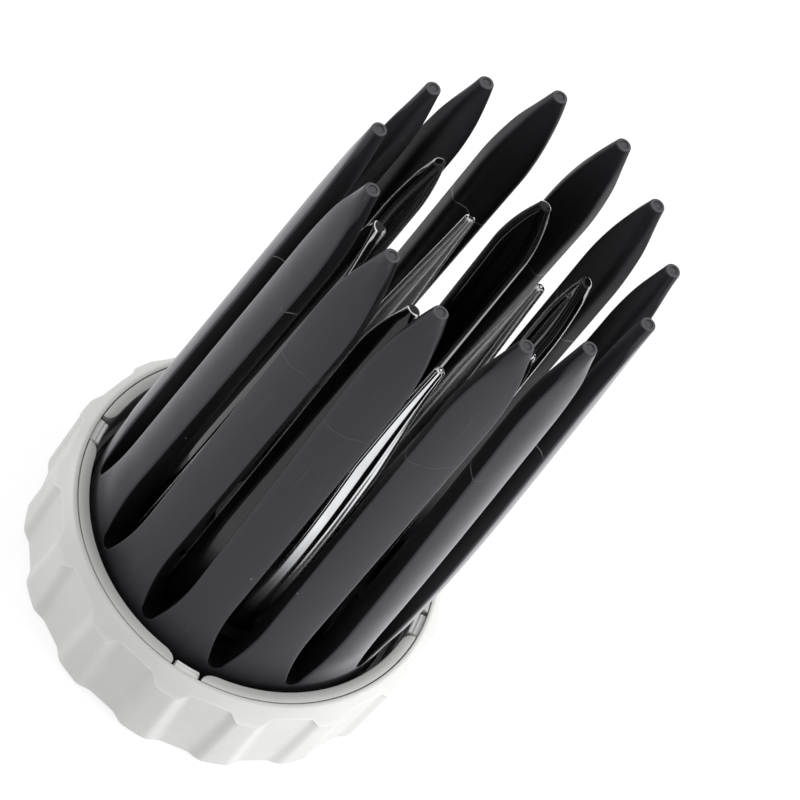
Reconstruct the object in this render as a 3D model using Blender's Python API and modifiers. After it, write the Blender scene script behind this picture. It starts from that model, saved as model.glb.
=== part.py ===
"""A crown of black prongs seated in a ribbed grey twist cap, for Blender 4.5 (metres, +Z up).

The origin is the centre of the cap's flat underside. Thirteen long outer prongs stand foot to foot
on a carrier, which turns in the cap under a notched bayonet ring. Inside them six wide black prongs
and six narrow steel ones stand in a second carrier, which turns on a screw and bush.
"""
import math

import bmesh
import bpy
from mathutils import Matrix, Vector

MM = 0.001
GAP = 0.3 * MM
AXIS_STEPS = 64
HUB_STEPS = 28
EPSILON = 1e-6

# Driving dimensions: the radius of the outer crown at its foot, and the heights above the underside.
CROWN_RADIUS = 24.0 * MM
LEDGE_Z = 18.0 * MM
RIM_Z = 17.0 * MM
OUTER_TIP_Z = 101.3 * MM
WIDE_TIP_Z = 90.2 * MM
NARROW_TIP_Z = 82.3 * MM

# How many of each, and where they stand.
OUTER_COUNT = 13
OUTER_START = math.radians(246.9)
WIDE_ANGLES = [math.radians(turn) for turn in (32.8, 82.3, 148.7, 212.8, 262.3, 328.7)]
NARROW_ANGLES = [math.radians(turn) for turn in (1.0, 55.0, 114.0, 181.0, 235.0, 294.0)]
NOTCH_COUNT = 4
NOTCH_START = math.radians(11.6)
RIB_COUNT = 15
RIB_START = math.radians(184.0)

# Outer prong: a foot as wide as its share of the circle, then half widths across the outer face.
OUTER_FACE_RADIUS = CROWN_RADIUS - 0.12 * MM
FOOT_BOTTOM_Z = 12.0 * MM
FOOT_HALF = math.pi * OUTER_FACE_RADIUS / OUTER_COUNT - GAP / 2
OUTER_SHOULDER_HALF = 4.65 * MM
OUTER_WAIST_HALF = 3.1 * MM
OUTER_SWELL = 0.3 * MM
OUTER_TIP_HALF = 1.1 * MM
OUTER_FLARE_LENGTH = 13.0 * MM
OUTER_FLARE_POWER = 2.2
OUTER_TAPER_LENGTH = 17.3 * MM
OUTER_TAPER_POWER = 2.3
OUTER_FOOT_THICKNESS = 4.4 * MM
OUTER_SHOULDER_THICKNESS = 3.1 * MM
OUTER_TIP_THICKNESS = 2.2 * MM
OUTER_LEAN = 0.0375

# The tenon below each foot, in its pocket in the carrier.
TENON_HALF = 3.0 * MM
TENON_OUTER_RADIUS = 22.9 * MM
TENON_THICKNESS = 2.4 * MM
TENON_BOTTOM_Z = 8.3 * MM

# Inner prongs: the wide ones are flat leaves, the narrow ones nearly round rods.
INNER_TOP_Z = 16.0 * MM
INNER_ROOT_Z = 8.3 * MM
WIDE_OUTER_RADIUS = 17.6 * MM
WIDE_HALF = 2.9 * MM
WIDE_TIP_HALF = 1.05 * MM
WIDE_TAPER_LENGTH = 11.5 * MM
WIDE_TAPER_POWER = 1.7
WIDE_THICKNESS = 3.0 * MM
WIDE_TIP_THICKNESS = 1.7 * MM
WIDE_LEAN = 0.0431
NARROW_OUTER_RADIUS = 15.9 * MM
NARROW_HALF = 2.2 * MM
NARROW_TIP_HALF = 0.7 * MM
NARROW_TAPER_LENGTH = 24.0 * MM
NARROW_TAPER_POWER = 1.0
NARROW_THICKNESS = 3.4 * MM
NARROW_TIP_THICKNESS = 1.4 * MM
NARROW_LEAN = 0.0457
POCKET_DEPTH_GAP = 1.5 * GAP

# Carriers.
OUTER_CARRIER_RADIUS = CROWN_RADIUS - 0.1 * MM
OUTER_CARRIER_BOTTOM_Z = 3.3 * MM
OUTER_CARRIER_TOP_Z = FOOT_BOTTOM_Z - GAP
OUTER_CARRIER_BORE = 18.4 * MM
INNER_CARRIER_RADIUS = 17.9 * MM
INNER_CARRIER_BOTTOM_Z = 4.0 * MM
SLOT_FLOOR_Z = 8.0 * MM
EDGE_CHAMFER = 0.3 * MM

# Bayonet: lugs on the outer carrier turn under the ring's foot and lift out through its notches.
LUG_RADIUS = 25.6 * MM
LUG_BOTTOM_Z = 5.2 * MM
LUG_TOP_Z = 6.7 * MM
LUG_HALF_ANGLE = math.radians(4.4)
LUG_ROOT_DEPTH = 2.0 * MM
LOCK_TURN = math.radians(25.0)
RING_OUTER_RADIUS = 26.5 * MM
RING_LIP_RADIUS = 25.1 * MM
RING_FOOT_RADIUS = 24.4 * MM
RING_BOTTOM_Z = 7.0 * MM
RING_FOOT_TOP_Z = 8.5 * MM
RING_SILL_Z = 13.5 * MM
RING_WEB = 0.6 * MM
RING_CHAMFER = 0.25 * MM
NOTCH_HALF_ANGLE = math.radians(5.1)
SILL_STEP_ANGLE = 0.002
TAB_HALF_ANGLE = math.radians(4.2)
TAB_TOP_Z = 16.6 * MM
TAB_INNER_GAP = 0.2 * MM

# Ribbed cap: (radius, height) of its shoulder and lower edge, and (degrees, rise) across a rib.
CAP_RIB_RADIUS = 29.35 * MM
CAP_PANEL_RADIUS = 28.5 * MM
PANEL_HALF_ANGLE = math.radians(5.0)
CAP_SHOULDER = [(27.0, 17.0), (27.5, 16.8), (28.0, 16.2), (28.5, 15.5), (29.3, 14.3), (29.45, 14.0)]
CAP_LOWER_EDGE = [(29.45, 1.6), (29.05, 0.6), (28.15, 0.0)]
RIB_SECTION = [(-7.0, 0.0), (-4.5, 0.5), (-2.3, 1.0), (2.3, 1.0), (4.5, 0.5), (7.0, 0.0)]
CAP_CAVITY_RADIUS = 26.8 * MM
CAP_SHELF_RADIUS = 25.95 * MM
CAP_SHELF_Z = 6.7 * MM
CAP_FLOOR_Z = 2.0 * MM
BOSS_RADIUS = 6.5 * MM
BOSS_TOP_Z = 3.7 * MM

# Gasket under the outer carrier.
GASKET_OUTER_RADIUS = 23.2 * MM
GASKET_INNER_RADIUS = 19.4 * MM

# Screw, washer and bush on the axis. The screw head is (share of its radius, drop from its top).
SCREW_RADIUS = 2.0 * MM
SCREW_END_Z = 1.0 * MM
SCREW_END_CHAMFER = 0.5 * MM
SCREW_HEAD_RADIUS = 3.9 * MM
SCREW_HEAD_HEIGHT = 2.4 * MM
SCREW_HEAD_SHAPE = [(0.0, 0.0), (0.62, 0.15), (0.9, 0.8), (1.0, 1.4)]
BUSH_BORE = 2.3 * MM
BUSH_RADIUS = 4.0 * MM
BUSH_TOP_Z = 16.3 * MM
WASHER_RADIUS = 7.0 * MM
WASHER_THICKNESS = 0.8 * MM

# How far cutting bodies reach past what they cut.
OVERCUT = 1.0 * MM

# Cross-sections as (share of the half width, share of the thickness from the outer face), centre to centre.
ROOT_SECTION = [(0.0, 0.0), (0.93, 0.0), (1.0, 0.08), (1.0, 0.6), (0.95, 1.0), (0.0, 1.0)]
BLADE_SECTION = [(0.0, 0.0), (0.86, 0.0), (1.0, 0.13), (0.95, 0.55), (0.62, 0.92), (0.0, 1.0)]
ROD_SECTION = [(0.0, 0.0), (0.6, 0.1), (0.95, 0.33), (0.95, 0.67), (0.6, 0.9), (0.0, 1.0)]

# Shares of the flare, the straight part and the taper at which a prong has a section.
FLARE_SHARES = (0.015, 0.12, 0.3, 0.55, 1.0)
BODY_SHARES = (0.6, 1.0)
OUTER_TAPER_SHARES = (0.3, 0.52, 0.72, 0.88, 1.0)
INNER_TAPER_SHARES = (0.35, 0.65, 0.85, 1.0)
INNER_FOOT_SHARE = 0.04


def clear_scene():
    """Remove every object of the open file."""
    for item in list(bpy.data.objects):
        bpy.data.objects.remove(item, do_unlink=True)


def make_collection(name):
    """Add a collection to the scene."""
    collection = bpy.data.collections.new(name)
    bpy.context.scene.collection.children.link(collection)
    return collection


def make_material(name, color, roughness, metallic=0.0):
    """Return a Principled material."""
    material = bpy.data.materials.new(name)
    material.use_nodes = True
    shader = material.node_tree.nodes["Principled BSDF"]
    shader.inputs["Base Color"].default_value = (*color, 1.0)
    shader.inputs["Roughness"].default_value = roughness
    shader.inputs["Metallic"].default_value = metallic
    material.diffuse_color = (*color, 1.0)
    return material


def new_object(name, mesh, collection, material=None):
    """Link an object for a mesh, smooth except at its sharp edges."""
    item = bpy.data.objects.new(name, mesh)
    collection.objects.link(item)
    if material is not None and not mesh.materials:
        mesh.materials.append(material)
    mesh.shade_smooth()
    mesh.set_sharp_from_angle(angle=math.radians(35.0))
    return item


def make_cutter(item):
    """Mark an object as a construction body."""
    item.hide_render = True
    item.display_type = "WIRE"
    return item


def add_boolean(item, operation, other):
    """Add an exact Boolean modifier."""
    modifier = item.modifiers.new(operation.title(), "BOOLEAN")
    modifier.operation = operation
    modifier.solver = "EXACT"
    modifier.object = other
    return modifier


def turned(name, profile, collection, material=None, closed=True, steps=AXIS_STEPS):
    """Turn a profile of (radius, height) points about Z; it runs down its outer side."""
    mesh = bpy.data.meshes.new(name)
    points = [(radius, 0.0, height) for radius, height in profile]
    edges = [(index, index + 1) for index in range(len(points) - 1)]
    if closed:
        edges.append((len(points) - 1, 0))
    mesh.from_pydata(points, edges, [])
    item = bpy.data.objects.new(name, mesh)
    collection.objects.link(item)
    screw = item.modifiers.new("Turn", "SCREW")
    screw.axis = "Z"
    screw.angle = math.tau
    screw.steps = steps
    screw.render_steps = steps
    screw.use_merge_vertices = True
    screw.merge_threshold = 0.00001
    screw.use_smooth_shade = True
    if material is not None:
        mesh.materials.append(material)
    return item


def polar(radius, angle, height=0.0):
    """Return the point at a radius, an angle and a height."""
    return Vector((radius * math.cos(angle), radius * math.sin(angle), height))


def outline_solid(name, outline, bottom, top, collection):
    """Extrude a flat outline between two heights, as a closed mesh."""
    curve = bpy.data.curves.new(name + "_outline", "CURVE")
    curve.dimensions = "2D"
    curve.fill_mode = "BOTH"
    curve.extrude = (top - bottom) / 2
    spline = curve.splines.new("POLY")
    spline.points.add(len(outline) - 1)
    for point, place in zip(spline.points, outline):
        point.co = (place.x, place.y, 0.0, 1.0)
    spline.use_cyclic_u = True
    source = bpy.data.objects.new(name + "_outline", curve)
    source.location.z = (top + bottom) / 2
    collection.objects.link(source)
    bpy.context.view_layer.update()
    evaluated = source.evaluated_get(bpy.context.evaluated_depsgraph_get())
    mesh = bpy.data.meshes.new_from_object(evaluated)
    mesh.name = name
    shape = bmesh.new()
    shape.from_mesh(mesh)
    bmesh.ops.remove_doubles(shape, verts=shape.verts, dist=EPSILON)
    bmesh.ops.recalc_face_normals(shape, faces=shape.faces)
    shape.to_mesh(mesh)
    shape.free()
    item = bpy.data.objects.new(name, mesh)
    item.matrix_world = source.matrix_world.copy()
    collection.objects.link(item)
    bpy.data.objects.remove(source, do_unlink=True)
    return item


def wedge_ring(name, angles, half_angle, inner, outer, bottom, top, collection):
    """Return a ring of separate blocks with radial sides, one at each angle."""
    shape = bmesh.new()
    for angle in angles:
        turns = [angle + share * half_angle for share in (-1.0, 0.0, 1.0)]
        outline = [polar(outer, turn, bottom) for turn in turns]
        outline += [polar(inner, turn, bottom) for turn in reversed(turns)]
        face = shape.faces.new([shape.verts.new(point) for point in outline])
        grown = bmesh.ops.extrude_face_region(shape, geom=[face])
        moved = [item for item in grown["geom"] if isinstance(item, bmesh.types.BMVert)]
        bmesh.ops.translate(shape, vec=Vector((0.0, 0.0, top - bottom)), verts=moved)
    bmesh.ops.recalc_face_normals(shape, faces=shape.faces)
    mesh = bpy.data.meshes.new(name)
    shape.to_mesh(mesh)
    shape.free()
    return new_object(name, mesh, collection)


def spaced(start, count):
    """Return evenly spaced angles round the axis."""
    return [start + index * math.tau / count for index in range(count)]


def section_points(section, half_width, outer_radius, thickness, reference_radius, height):
    """Place a cross-section with radial sides at +X; its width is measured at a reference radius."""
    half_angle = half_width / reference_radius
    shares = section + [(-width, depth) for width, depth in reversed(section[1:-1])]
    return [polar(outer_radius - depth * thickness, width * half_angle, height) for width, depth in shares]


def loft_mesh(name, loops):
    """Join equal loops of points, bottom to top, into one closed mesh."""
    shape = bmesh.new()
    rings = [[shape.verts.new(point) for point in loop] for loop in loops]
    size = len(loops[0])
    for lower, upper in zip(rings, rings[1:]):
        for index in range(size):
            after = (index + 1) % size
            shape.faces.new((lower[index], lower[after], upper[after], upper[index]))
    shape.faces.new(list(reversed(rings[0])))
    shape.faces.new(rings[-1])
    bmesh.ops.recalc_face_normals(shape, faces=shape.faces)
    mesh = bpy.data.meshes.new(name)
    shape.to_mesh(mesh)
    shape.free()
    return mesh


def outer_prong_mesh():
    """A long blade: a tenon, a foot that meets its neighbours, a flare, a waist and a rounded taper."""
    length = OUTER_TIP_Z - LEDGE_Z
    taper_start = length - OUTER_TAPER_LENGTH
    tenon = (TENON_HALF, TENON_OUTER_RADIUS, TENON_THICKNESS, TENON_OUTER_RADIUS)
    foot = (FOOT_HALF, OUTER_FACE_RADIUS, OUTER_FOOT_THICKNESS, OUTER_FACE_RADIUS)
    loops = [section_points(ROOT_SECTION, *tenon, TENON_BOTTOM_Z)]
    loops.append(section_points(ROOT_SECTION, *tenon, FOOT_BOTTOM_Z))
    loops.append(section_points(ROOT_SECTION, *foot, FOOT_BOTTOM_Z))
    loops.append(section_points(ROOT_SECTION, *foot, LEDGE_Z - GAP))
    rises = [OUTER_FLARE_LENGTH * share for share in FLARE_SHARES]
    rises += [taper_start * share for share in BODY_SHARES]
    rises += [taper_start + OUTER_TAPER_LENGTH * share for share in OUTER_TAPER_SHARES]
    for rise in rises:
        flare = max(0.0, 1.0 - rise / OUTER_FLARE_LENGTH) ** OUTER_FLARE_POWER
        taper = max(0.0, (rise - taper_start) / OUTER_TAPER_LENGTH)
        body = OUTER_WAIST_HALF + OUTER_SWELL * min(1.0, rise / taper_start)
        half = body + (OUTER_SHOULDER_HALF - OUTER_WAIST_HALF) * flare
        half -= (body - OUTER_TIP_HALF) * taper ** OUTER_TAPER_POWER
        drop = OUTER_FOOT_THICKNESS - OUTER_SHOULDER_THICKNESS
        thickness = OUTER_FOOT_THICKNESS - drop * min(1.0, rise / taper_start)
        thickness -= (OUTER_SHOULDER_THICKNESS - OUTER_TIP_THICKNESS) * taper ** 2
        outer = OUTER_FACE_RADIUS - OUTER_LEAN * rise
        loops.append(section_points(BLADE_SECTION, half, outer, thickness, outer, LEDGE_Z + rise))
    return loft_mesh("outer_prong", loops)


def inner_prong_mesh(name, section, size, tip_z, taper_length, taper_power, lean):
    """A shorter prong: a straight body that tapers to a small flat tip."""
    half, tip_half, thick, tip_thick, radius = size
    length = tip_z - INNER_TOP_Z
    taper_start = length - taper_length
    loops = [section_points(ROOT_SECTION, half, radius, thick, radius, INNER_ROOT_Z)]
    loops.append(section_points(ROOT_SECTION, half, radius, thick, radius, INNER_TOP_Z))
    rises = [INNER_FOOT_SHARE * taper_start, taper_start]
    rises += [taper_start + taper_length * share for share in INNER_TAPER_SHARES]
    for rise in rises:
        taper = max(0.0, (rise - taper_start) / taper_length) ** taper_power
        width = half - (half - tip_half) * taper
        thickness = thick - (thick - tip_thick) * rise / length
        outer = radius - lean * rise
        loops.append(section_points(section, width, outer, thickness, outer, INNER_TOP_Z + rise))
    return loft_mesh(name, loops)


def ring_of_prongs(stem, digits, mesh, angles, collection, material, parent):
    """Stand one prong at each angle; all of them share a mesh and turn about the central axis."""
    for number, angle in enumerate(angles, start=1):
        prong = new_object(f"{stem}_{number:0{digits}d}", mesh, collection, material)
        prong.rotation_euler.z = angle
        prong.parent = parent


def rib_outline():
    """Outline of the cap: nearly flat panels between raised ribs."""
    outline = []
    middle = CAP_PANEL_RADIUS * math.cos(PANEL_HALF_ANGLE)
    for start in spaced(RIB_START, RIB_COUNT):
        outline.append(polar(middle, start - math.pi / RIB_COUNT))
        for turn, rise in RIB_SECTION:
            radius = CAP_PANEL_RADIUS + (CAP_RIB_RADIUS - CAP_PANEL_RADIUS) * rise
            outline.append(polar(radius, start + math.radians(turn)))
    return outline


def build_fluted_cap(parts, cutters, material):
    """Open-topped cap: a turned body cut to the ribs, hollowed out round a screw boss."""
    profile = [(0.0, RIM_Z)] + [(radius * MM, height * MM) for radius, height in CAP_SHOULDER + CAP_LOWER_EDGE]
    profile.append((0.0, 0.0))
    cap = turned("fluted_cap", profile, parts, material, closed=False, steps=RIB_COUNT * 6)
    ribs = outline_solid("rib_body", rib_outline(), -OVERCUT, RIM_Z + OVERCUT, cutters)
    add_boolean(cap, "INTERSECT", make_cutter(ribs))

    over_top = RIM_Z + 2 * OVERCUT
    cavity = [(0.0, over_top), (CAP_CAVITY_RADIUS, over_top), (CAP_CAVITY_RADIUS, CAP_SHELF_Z)]
    cavity += [(CAP_SHELF_RADIUS, CAP_SHELF_Z), (CAP_SHELF_RADIUS, CAP_FLOOR_Z)]
    cavity += [(BOSS_RADIUS, CAP_FLOOR_Z), (BOSS_RADIUS, BOSS_TOP_Z)]
    hole = SCREW_RADIUS + GAP
    cavity += [(hole, BOSS_TOP_Z), (hole, SCREW_END_Z - GAP), (0.0, SCREW_END_Z - GAP)]
    cutter = turned("cap_cavity", cavity, cutters, closed=False, steps=AXIS_STEPS)
    add_boolean(cap, "DIFFERENCE", make_cutter(cutter))
    return cap


def build_lock_ring(parts, cutters, material):
    """Bayonet ring: a tall lip with a foot turned inward, notched at four places."""
    chamfer = RING_CHAMFER
    profile = [(RING_LIP_RADIUS + chamfer, RIM_Z), (RING_OUTER_RADIUS - chamfer, RIM_Z)]
    profile += [(RING_OUTER_RADIUS, RIM_Z - chamfer), (RING_OUTER_RADIUS, RING_BOTTOM_Z)]
    profile += [(RING_FOOT_RADIUS, RING_BOTTOM_Z), (RING_FOOT_RADIUS, RING_FOOT_TOP_Z)]
    profile += [(RING_LIP_RADIUS, RING_FOOT_TOP_Z), (RING_LIP_RADIUS, RIM_Z - chamfer)]
    ring = turned("lock_ring", profile, parts, material, steps=60)
    angles = spaced(NOTCH_START, NOTCH_COUNT)
    web = RING_OUTER_RADIUS - RING_WEB
    low = wedge_ring("notch_passage", angles, NOTCH_HALF_ANGLE, RING_FOOT_RADIUS - OVERCUT, web,
                     RING_BOTTOM_Z - OVERCUT, RIM_Z + OVERCUT, cutters)
    high = wedge_ring("notch_sill", angles, NOTCH_HALF_ANGLE - SILL_STEP_ANGLE,
                      RING_FOOT_RADIUS - OVERCUT / 2, RING_OUTER_RADIUS + OVERCUT,
                      RING_SILL_Z, RIM_Z + 2 * OVERCUT, cutters)
    add_boolean(ring, "DIFFERENCE", make_cutter(low))
    add_boolean(ring, "DIFFERENCE", make_cutter(high))
    return ring


def build_lock_tabs(parts, material):
    """Four small keys that stand on the ring's sill and close its notches."""
    for number, angle in enumerate(spaced(NOTCH_START, NOTCH_COUNT), start=1):
        tab = wedge_ring(f"lock_tab_{number}", [angle], TAB_HALF_ANGLE, RING_LIP_RADIUS + TAB_INNER_GAP,
                         RING_OUTER_RADIUS, RING_SILL_Z + GAP, TAB_TOP_Z, parts)
        tab.data.materials.append(material)


def build_outer_carrier(parts, cutters, material, parent):
    """Ring with a pocket for each outer prong's tenon and four bayonet lugs at its foot."""
    outer = OUTER_CARRIER_RADIUS
    chamfer = EDGE_CHAMFER
    profile = [(OUTER_CARRIER_BORE, OUTER_CARRIER_TOP_Z), (outer - chamfer, OUTER_CARRIER_TOP_Z)]
    profile += [(outer, OUTER_CARRIER_TOP_Z - chamfer), (outer, OUTER_CARRIER_BOTTOM_Z + chamfer)]
    profile += [(outer - chamfer, OUTER_CARRIER_BOTTOM_Z), (OUTER_CARRIER_BORE, OUTER_CARRIER_BOTTOM_Z)]
    carrier = turned("outer_carrier", profile, parts, material, steps=OUTER_COUNT * 6)
    pocket_half = (TENON_HALF + GAP) / TENON_OUTER_RADIUS
    pocket_inner = TENON_OUTER_RADIUS - TENON_THICKNESS - GAP
    pockets = wedge_ring("tenon_pockets", spaced(OUTER_START, OUTER_COUNT), pocket_half, pocket_inner,
                         TENON_OUTER_RADIUS + GAP, SLOT_FLOOR_Z, OUTER_CARRIER_TOP_Z + OVERCUT, cutters)
    add_boolean(carrier, "DIFFERENCE", make_cutter(pockets))
    lugs = wedge_ring("bayonet_lugs", spaced(NOTCH_START + LOCK_TURN, NOTCH_COUNT), LUG_HALF_ANGLE,
                      outer - LUG_ROOT_DEPTH, LUG_RADIUS, LUG_BOTTOM_Z, LUG_TOP_Z, cutters)
    add_boolean(carrier, "UNION", make_cutter(lugs))
    carrier.parent = parent
    return carrier


def build_inner_carrier(parts, cutters, material, parent):
    """Hub disc with six open slots for the wide prongs and six pockets for the narrow ones."""
    bore = BUSH_RADIUS + GAP
    chamfer = EDGE_CHAMFER
    radius = INNER_CARRIER_RADIUS
    profile = [(bore, INNER_TOP_Z), (radius - chamfer, INNER_TOP_Z), (radius, INNER_TOP_Z - chamfer)]
    profile += [(radius, INNER_CARRIER_BOTTOM_Z), (bore, INNER_CARRIER_BOTTOM_Z)]
    hub = turned("inner_carrier", profile, parts, material, steps=60)
    wide_inner = WIDE_OUTER_RADIUS - WIDE_THICKNESS - POCKET_DEPTH_GAP
    wide = wedge_ring("wide_slots", WIDE_ANGLES, (WIDE_HALF + GAP) / WIDE_OUTER_RADIUS,
                      wide_inner, radius + OVERCUT, SLOT_FLOOR_Z, INNER_TOP_Z + OVERCUT, cutters)
    narrow_inner = NARROW_OUTER_RADIUS - NARROW_THICKNESS - POCKET_DEPTH_GAP
    narrow = wedge_ring("narrow_pockets", NARROW_ANGLES, (NARROW_HALF + GAP) / NARROW_OUTER_RADIUS,
                        narrow_inner, NARROW_OUTER_RADIUS + GAP, SLOT_FLOOR_Z, INNER_TOP_Z + OVERCUT,
                        cutters)
    add_boolean(hub, "DIFFERENCE", make_cutter(wide))
    add_boolean(hub, "DIFFERENCE", make_cutter(narrow))
    hub.parent = parent
    return hub


def build_axis_parts(parts, steel, bronze):
    """Bush, washer and screw that hold the hub down on the cap's boss."""
    bush_bottom = BOSS_TOP_Z + GAP
    bush = [(BUSH_BORE, BUSH_TOP_Z), (BUSH_RADIUS, BUSH_TOP_Z), (BUSH_RADIUS, bush_bottom)]
    bush += [(BUSH_BORE, bush_bottom)]
    turned("hub_bush", bush, parts, bronze, steps=HUB_STEPS)
    washer_z = BUSH_TOP_Z + GAP
    washer_top = washer_z + WASHER_THICKNESS
    washer = [(BUSH_BORE, washer_top), (WASHER_RADIUS, washer_top), (WASHER_RADIUS, washer_z)]
    washer += [(BUSH_BORE, washer_z)]
    turned("hub_washer", washer, parts, steel, steps=HUB_STEPS)
    head_z = washer_top + GAP
    head_top = head_z + SCREW_HEAD_HEIGHT
    screw = [(SCREW_HEAD_RADIUS * share, head_top - drop * MM) for share, drop in SCREW_HEAD_SHAPE]
    screw += [(SCREW_HEAD_RADIUS, head_z), (SCREW_RADIUS, head_z)]
    screw += [(SCREW_RADIUS, SCREW_END_Z + SCREW_END_CHAMFER), (SCREW_RADIUS - SCREW_END_CHAMFER, SCREW_END_Z)]
    screw.append((0.0, SCREW_END_Z))
    turned("hub_screw", screw, parts, steel, closed=False, steps=HUB_STEPS)


def build_seat_gasket(parts, material):
    """Soft ring under the outer carrier, which takes up the play of the bayonet."""
    top = OUTER_CARRIER_BOTTOM_Z - GAP
    bottom = CAP_FLOOR_Z + GAP
    profile = [(GASKET_INNER_RADIUS, top), (GASKET_OUTER_RADIUS, top)]
    profile += [(GASKET_OUTER_RADIUS, bottom), (GASKET_INNER_RADIUS, bottom)]
    turned("seat_gasket", profile, parts, material, steps=48)


def add_pivot(name, collection):
    """Return an empty on the central axis, the joint of one turning crown."""
    pivot = bpy.data.objects.new(name, None)
    pivot.matrix_world = Matrix.Identity(4)
    collection.objects.link(pivot)
    return pivot


def build():
    """Build the whole object."""
    clear_scene()
    parts = make_collection("prong_crown_in_twist_cap")
    cutters = make_collection("construction")
    cap_grey = make_material("cap_grey", (0.56, 0.56, 0.54), 0.42)
    ring_grey = make_material("ring_grey", (0.44, 0.44, 0.42), 0.46)
    tab_grey = make_material("tab_grey", (0.36, 0.36, 0.35), 0.5)
    matte_black = make_material("matte_black", (0.018, 0.018, 0.019), 0.55)
    carrier_black = make_material("carrier_black", (0.014, 0.014, 0.015), 0.5)
    gloss_black = make_material("gloss_black", (0.004, 0.004, 0.005), 0.08)
    bright_steel = make_material("bright_steel", (0.75, 0.76, 0.78), 0.1, 1.0)
    hub_black = make_material("hub_black", (0.008, 0.008, 0.009), 0.3)
    rubber = make_material("gasket_rubber", (0.03, 0.03, 0.03), 0.85)
    steel = make_material("dark_steel", (0.06, 0.06, 0.065), 0.35, 1.0)
    bronze = make_material("bush_bronze", (0.5, 0.33, 0.14), 0.35, 1.0)

    outer_pivot = add_pivot("crown_twist_axis", parts)
    inner_pivot = add_pivot("inner_crown_axis", parts)

    build_fluted_cap(parts, cutters, cap_grey)
    build_lock_ring(parts, cutters, ring_grey)
    build_lock_tabs(parts, tab_grey)
    build_seat_gasket(parts, rubber)
    build_outer_carrier(parts, cutters, carrier_black, outer_pivot)
    build_inner_carrier(parts, cutters, hub_black, inner_pivot)
    build_axis_parts(parts, steel, bronze)

    ring_of_prongs("outer_prong", 2, outer_prong_mesh(), spaced(OUTER_START, OUTER_COUNT),
                   parts, matte_black, outer_pivot)
    wide_size = (WIDE_HALF, WIDE_TIP_HALF, WIDE_THICKNESS, WIDE_TIP_THICKNESS, WIDE_OUTER_RADIUS)
    wide = inner_prong_mesh("inner_wide_prong", BLADE_SECTION, wide_size, WIDE_TIP_Z, WIDE_TAPER_LENGTH,
                            WIDE_TAPER_POWER, WIDE_LEAN)
    ring_of_prongs("inner_wide_prong", 1, wide, WIDE_ANGLES, parts, gloss_black, inner_pivot)
    narrow_size = (NARROW_HALF, NARROW_TIP_HALF, NARROW_THICKNESS, NARROW_TIP_THICKNESS, NARROW_OUTER_RADIUS)
    narrow = inner_prong_mesh("inner_narrow_prong", ROD_SECTION, narrow_size, NARROW_TIP_Z,
                              NARROW_TAPER_LENGTH, NARROW_TAPER_POWER, NARROW_LEAN)
    ring_of_prongs("inner_narrow_prong", 1, narrow, NARROW_ANGLES, parts, bright_steel, inner_pivot)


build()
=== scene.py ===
"""Looks for a crown of black prongs seated in a ribbed grey twist cap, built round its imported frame.

Every piece takes its place and its outer size from the CAD nodes. Lengths are in metres, +Z is up,
and the cap stands on the floor at z = 0.
"""
import math

import bmesh
import bpy
import numpy as np
from mathutils import Matrix, Vector


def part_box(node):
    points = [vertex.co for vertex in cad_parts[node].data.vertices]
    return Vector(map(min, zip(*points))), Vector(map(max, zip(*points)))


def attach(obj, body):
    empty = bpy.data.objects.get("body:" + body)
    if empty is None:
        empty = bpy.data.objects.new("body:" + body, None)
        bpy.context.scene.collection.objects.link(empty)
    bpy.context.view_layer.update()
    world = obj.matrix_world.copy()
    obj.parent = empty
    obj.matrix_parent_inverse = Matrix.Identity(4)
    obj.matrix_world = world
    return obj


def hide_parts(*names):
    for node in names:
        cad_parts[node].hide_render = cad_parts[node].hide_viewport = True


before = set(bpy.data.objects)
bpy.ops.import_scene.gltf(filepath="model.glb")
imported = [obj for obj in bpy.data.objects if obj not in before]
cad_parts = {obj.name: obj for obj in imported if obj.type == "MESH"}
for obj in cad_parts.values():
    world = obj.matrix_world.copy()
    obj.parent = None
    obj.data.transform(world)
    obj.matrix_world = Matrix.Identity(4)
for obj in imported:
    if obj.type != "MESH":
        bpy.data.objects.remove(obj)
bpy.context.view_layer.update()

MM = 0.001
DEGREE = math.pi / 180.0
ON_AXIS = 1e-9
SAME_PLACE = 1e-7
NO_AREA = 1e-8


def vertices(node):
    """Return the vertices of a CAD node as an array."""
    return np.array([vertex.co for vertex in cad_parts[node].data.vertices], float)


def heights(node):
    """Return the lowest and highest z of a CAD node."""
    low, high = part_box(node)
    return low.z, high.z


def radii(node):
    """Return the smallest and largest distance of a CAD node's vertices from the axis."""
    places = vertices(node)
    reach = np.hypot(places[:, 0], places[:, 1])
    return float(reach.min()), float(reach.max())


def node_angle(node):
    """Return the angle about the axis at which a CAD node stands."""
    middle = vertices(node).mean(axis=0)
    return math.atan2(middle[1], middle[0])


def smooth(value):
    """Ease a share from 0 to 1."""
    value = min(1.0, max(0.0, value))
    return value * value * (3 - 2 * value)


def around(value):
    """Bring a difference of two angles to between minus and plus half a turn."""
    return (value + math.pi) % math.tau - math.pi


# ---------------- mesh tools

def fillet(points, radius_list, segments=4, closed=True):
    """Round the corners of a polygon of 2-D points; a corner of radius 0 stays sharp."""
    result = []
    count = len(points)
    for index, point in enumerate(points):
        radius = radius_list[index]
        ends = not closed and index in (0, count - 1)
        if radius <= 0 or ends:
            result.append(tuple(point))
            continue
        here = Vector(point)
        before = Vector(points[index - 1]) - here
        after = Vector(points[(index + 1) % count]) - here
        half = before.angle(after) / 2
        reach = min(radius / math.tan(half), before.length * 0.49, after.length * 0.49)
        start = here + before.normalized() * reach
        end = here + after.normalized() * reach
        for step in range(segments + 1):
            share = step / segments
            blend = start * (1 - share) ** 2 + here * (2 * share * (1 - share)) + end * share ** 2
            result.append((blend.x, blend.y))
    return result


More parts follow.
